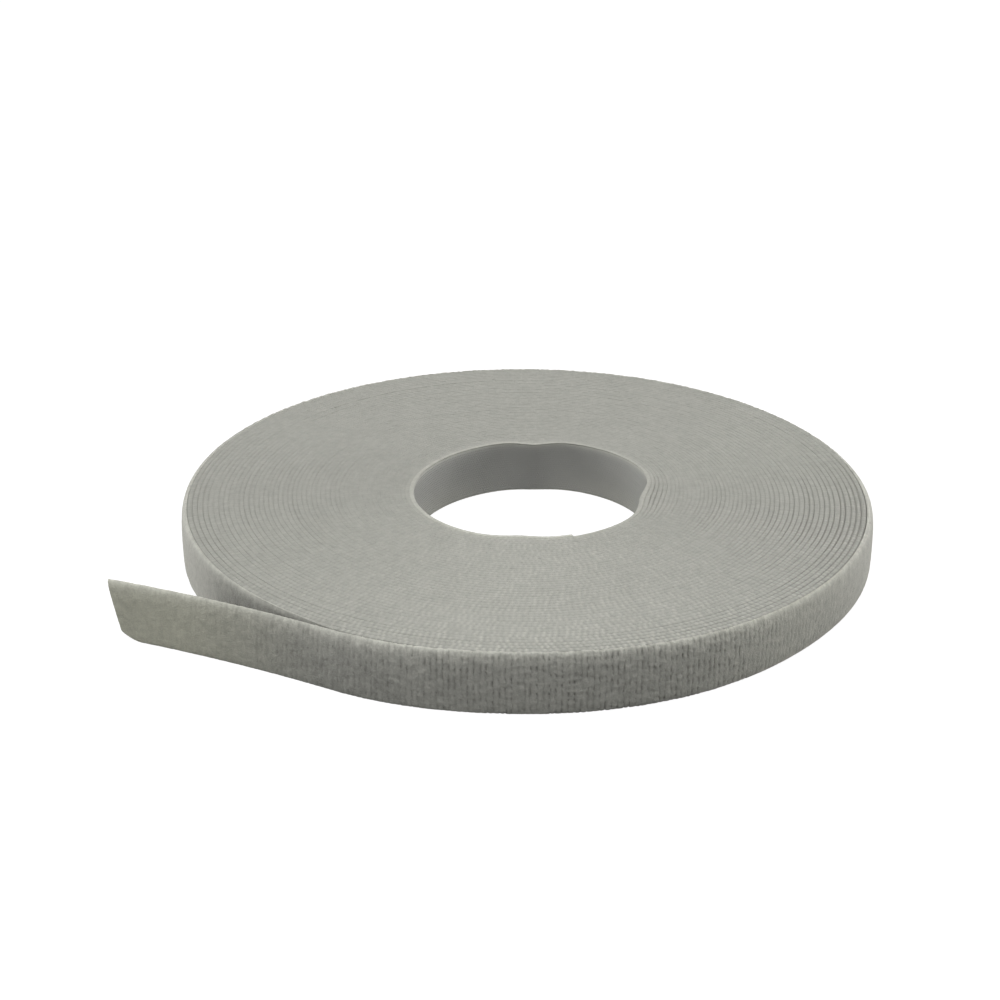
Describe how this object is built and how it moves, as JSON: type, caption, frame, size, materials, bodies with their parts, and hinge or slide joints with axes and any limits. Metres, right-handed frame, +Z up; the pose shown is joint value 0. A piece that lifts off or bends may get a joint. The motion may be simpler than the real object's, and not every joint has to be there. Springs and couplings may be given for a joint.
{
  "type": "hook and loop tape roll",
  "caption": "Coreless roll of grey double-sided hook and loop tape lying flat, with an open bore and a free tail that peels off the outer turn and curls.",
  "frame": {"origin": "middle of the underside of the whole, roll and tail together; the roll's axis stands 6.1 mm towards +X and 0.5 mm towards +Y of it", "axes": "+Z up along the roll's axis, +X to the right seen from the front, with the free tail at -X and -Y; -Y is the front"},
  "size_m": [0.2598, 0.2476, 0.02],
  "materials": {
    "loop_fabric": "matt grey knitted nylon with a low pile",
    "hook_strip": "satin grey moulded plastic with fine hooks"
  },
  "bodies": {
    "roll": {"inner_turns": "loop_fabric", "hook_turns": "hook_strip", "loop_turns": "loop_fabric"},
    "tail_1": {"tail_loop_1": "loop_fabric", "tail_hook_1": "hook_strip"},
    "tail_2": {"tail_loop_2": "loop_fabric", "tail_hook_2": "hook_strip"},
    "tail_3": {"tail_loop_3": "loop_fabric", "tail_hook_3": "hook_strip"},
    "tail_4": {"tail_loop_4": "loop_fabric", "tail_hook_4": "hook_strip"},
    "tail_5": {"tail_loop_5": "loop_fabric", "tail_hook_5": "hook_strip"}
  },
  "joints": [
    {"name": "tail_peel", "type": "hinge", "parent": "roll", "child": "tail_1", "pos_m": [-0.05204, -0.10886, 0.01], "axis": [0, 0, 1], "range_deg": [-3.5, 36], "stiffness_Nm_per_rad": 0.003},
    {"name": "tail_curl", "type": "hinge", "parent": "tail_1", "child": "tail_2", "pos_m": [-0.06674, -0.10132, 0.01], "axis": [0, 0, 1], "range_deg": [-9.5, 36], "stiffness_Nm_per_rad": 0.003},
    {"name": "tail_curl_3", "type": "hinge", "parent": "tail_2", "child": "tail_3", "pos_m": [-0.08167, -0.09424, 0.01], "axis": [0, 0, 1], "range_deg": [-9.5, 36]},
    {"name": "tail_curl_4", "type": "hinge", "parent": "tail_3", "child": "tail_4", "pos_m": [-0.0968, -0.08761, 0.01], "axis": [0, 0, 1], "range_deg": [-9.5, 36]},
    {"name": "tail_curl_5", "type": "hinge", "parent": "tail_4", "child": "tail_5", "pos_m": [-0.11213, -0.08145, 0.01], "axis": [0, 0, 1], "range_deg": [-9.5, 36]}
  ],
  "couplings": [
    {"joint": "tail_curl_3", "follows": "tail_curl", "ratio": 1},
    {"joint": "tail_curl_4", "follows": "tail_curl", "ratio": 1},
    {"joint": "tail_curl_5", "follows": "tail_curl", "ratio": 1}
  ]
}
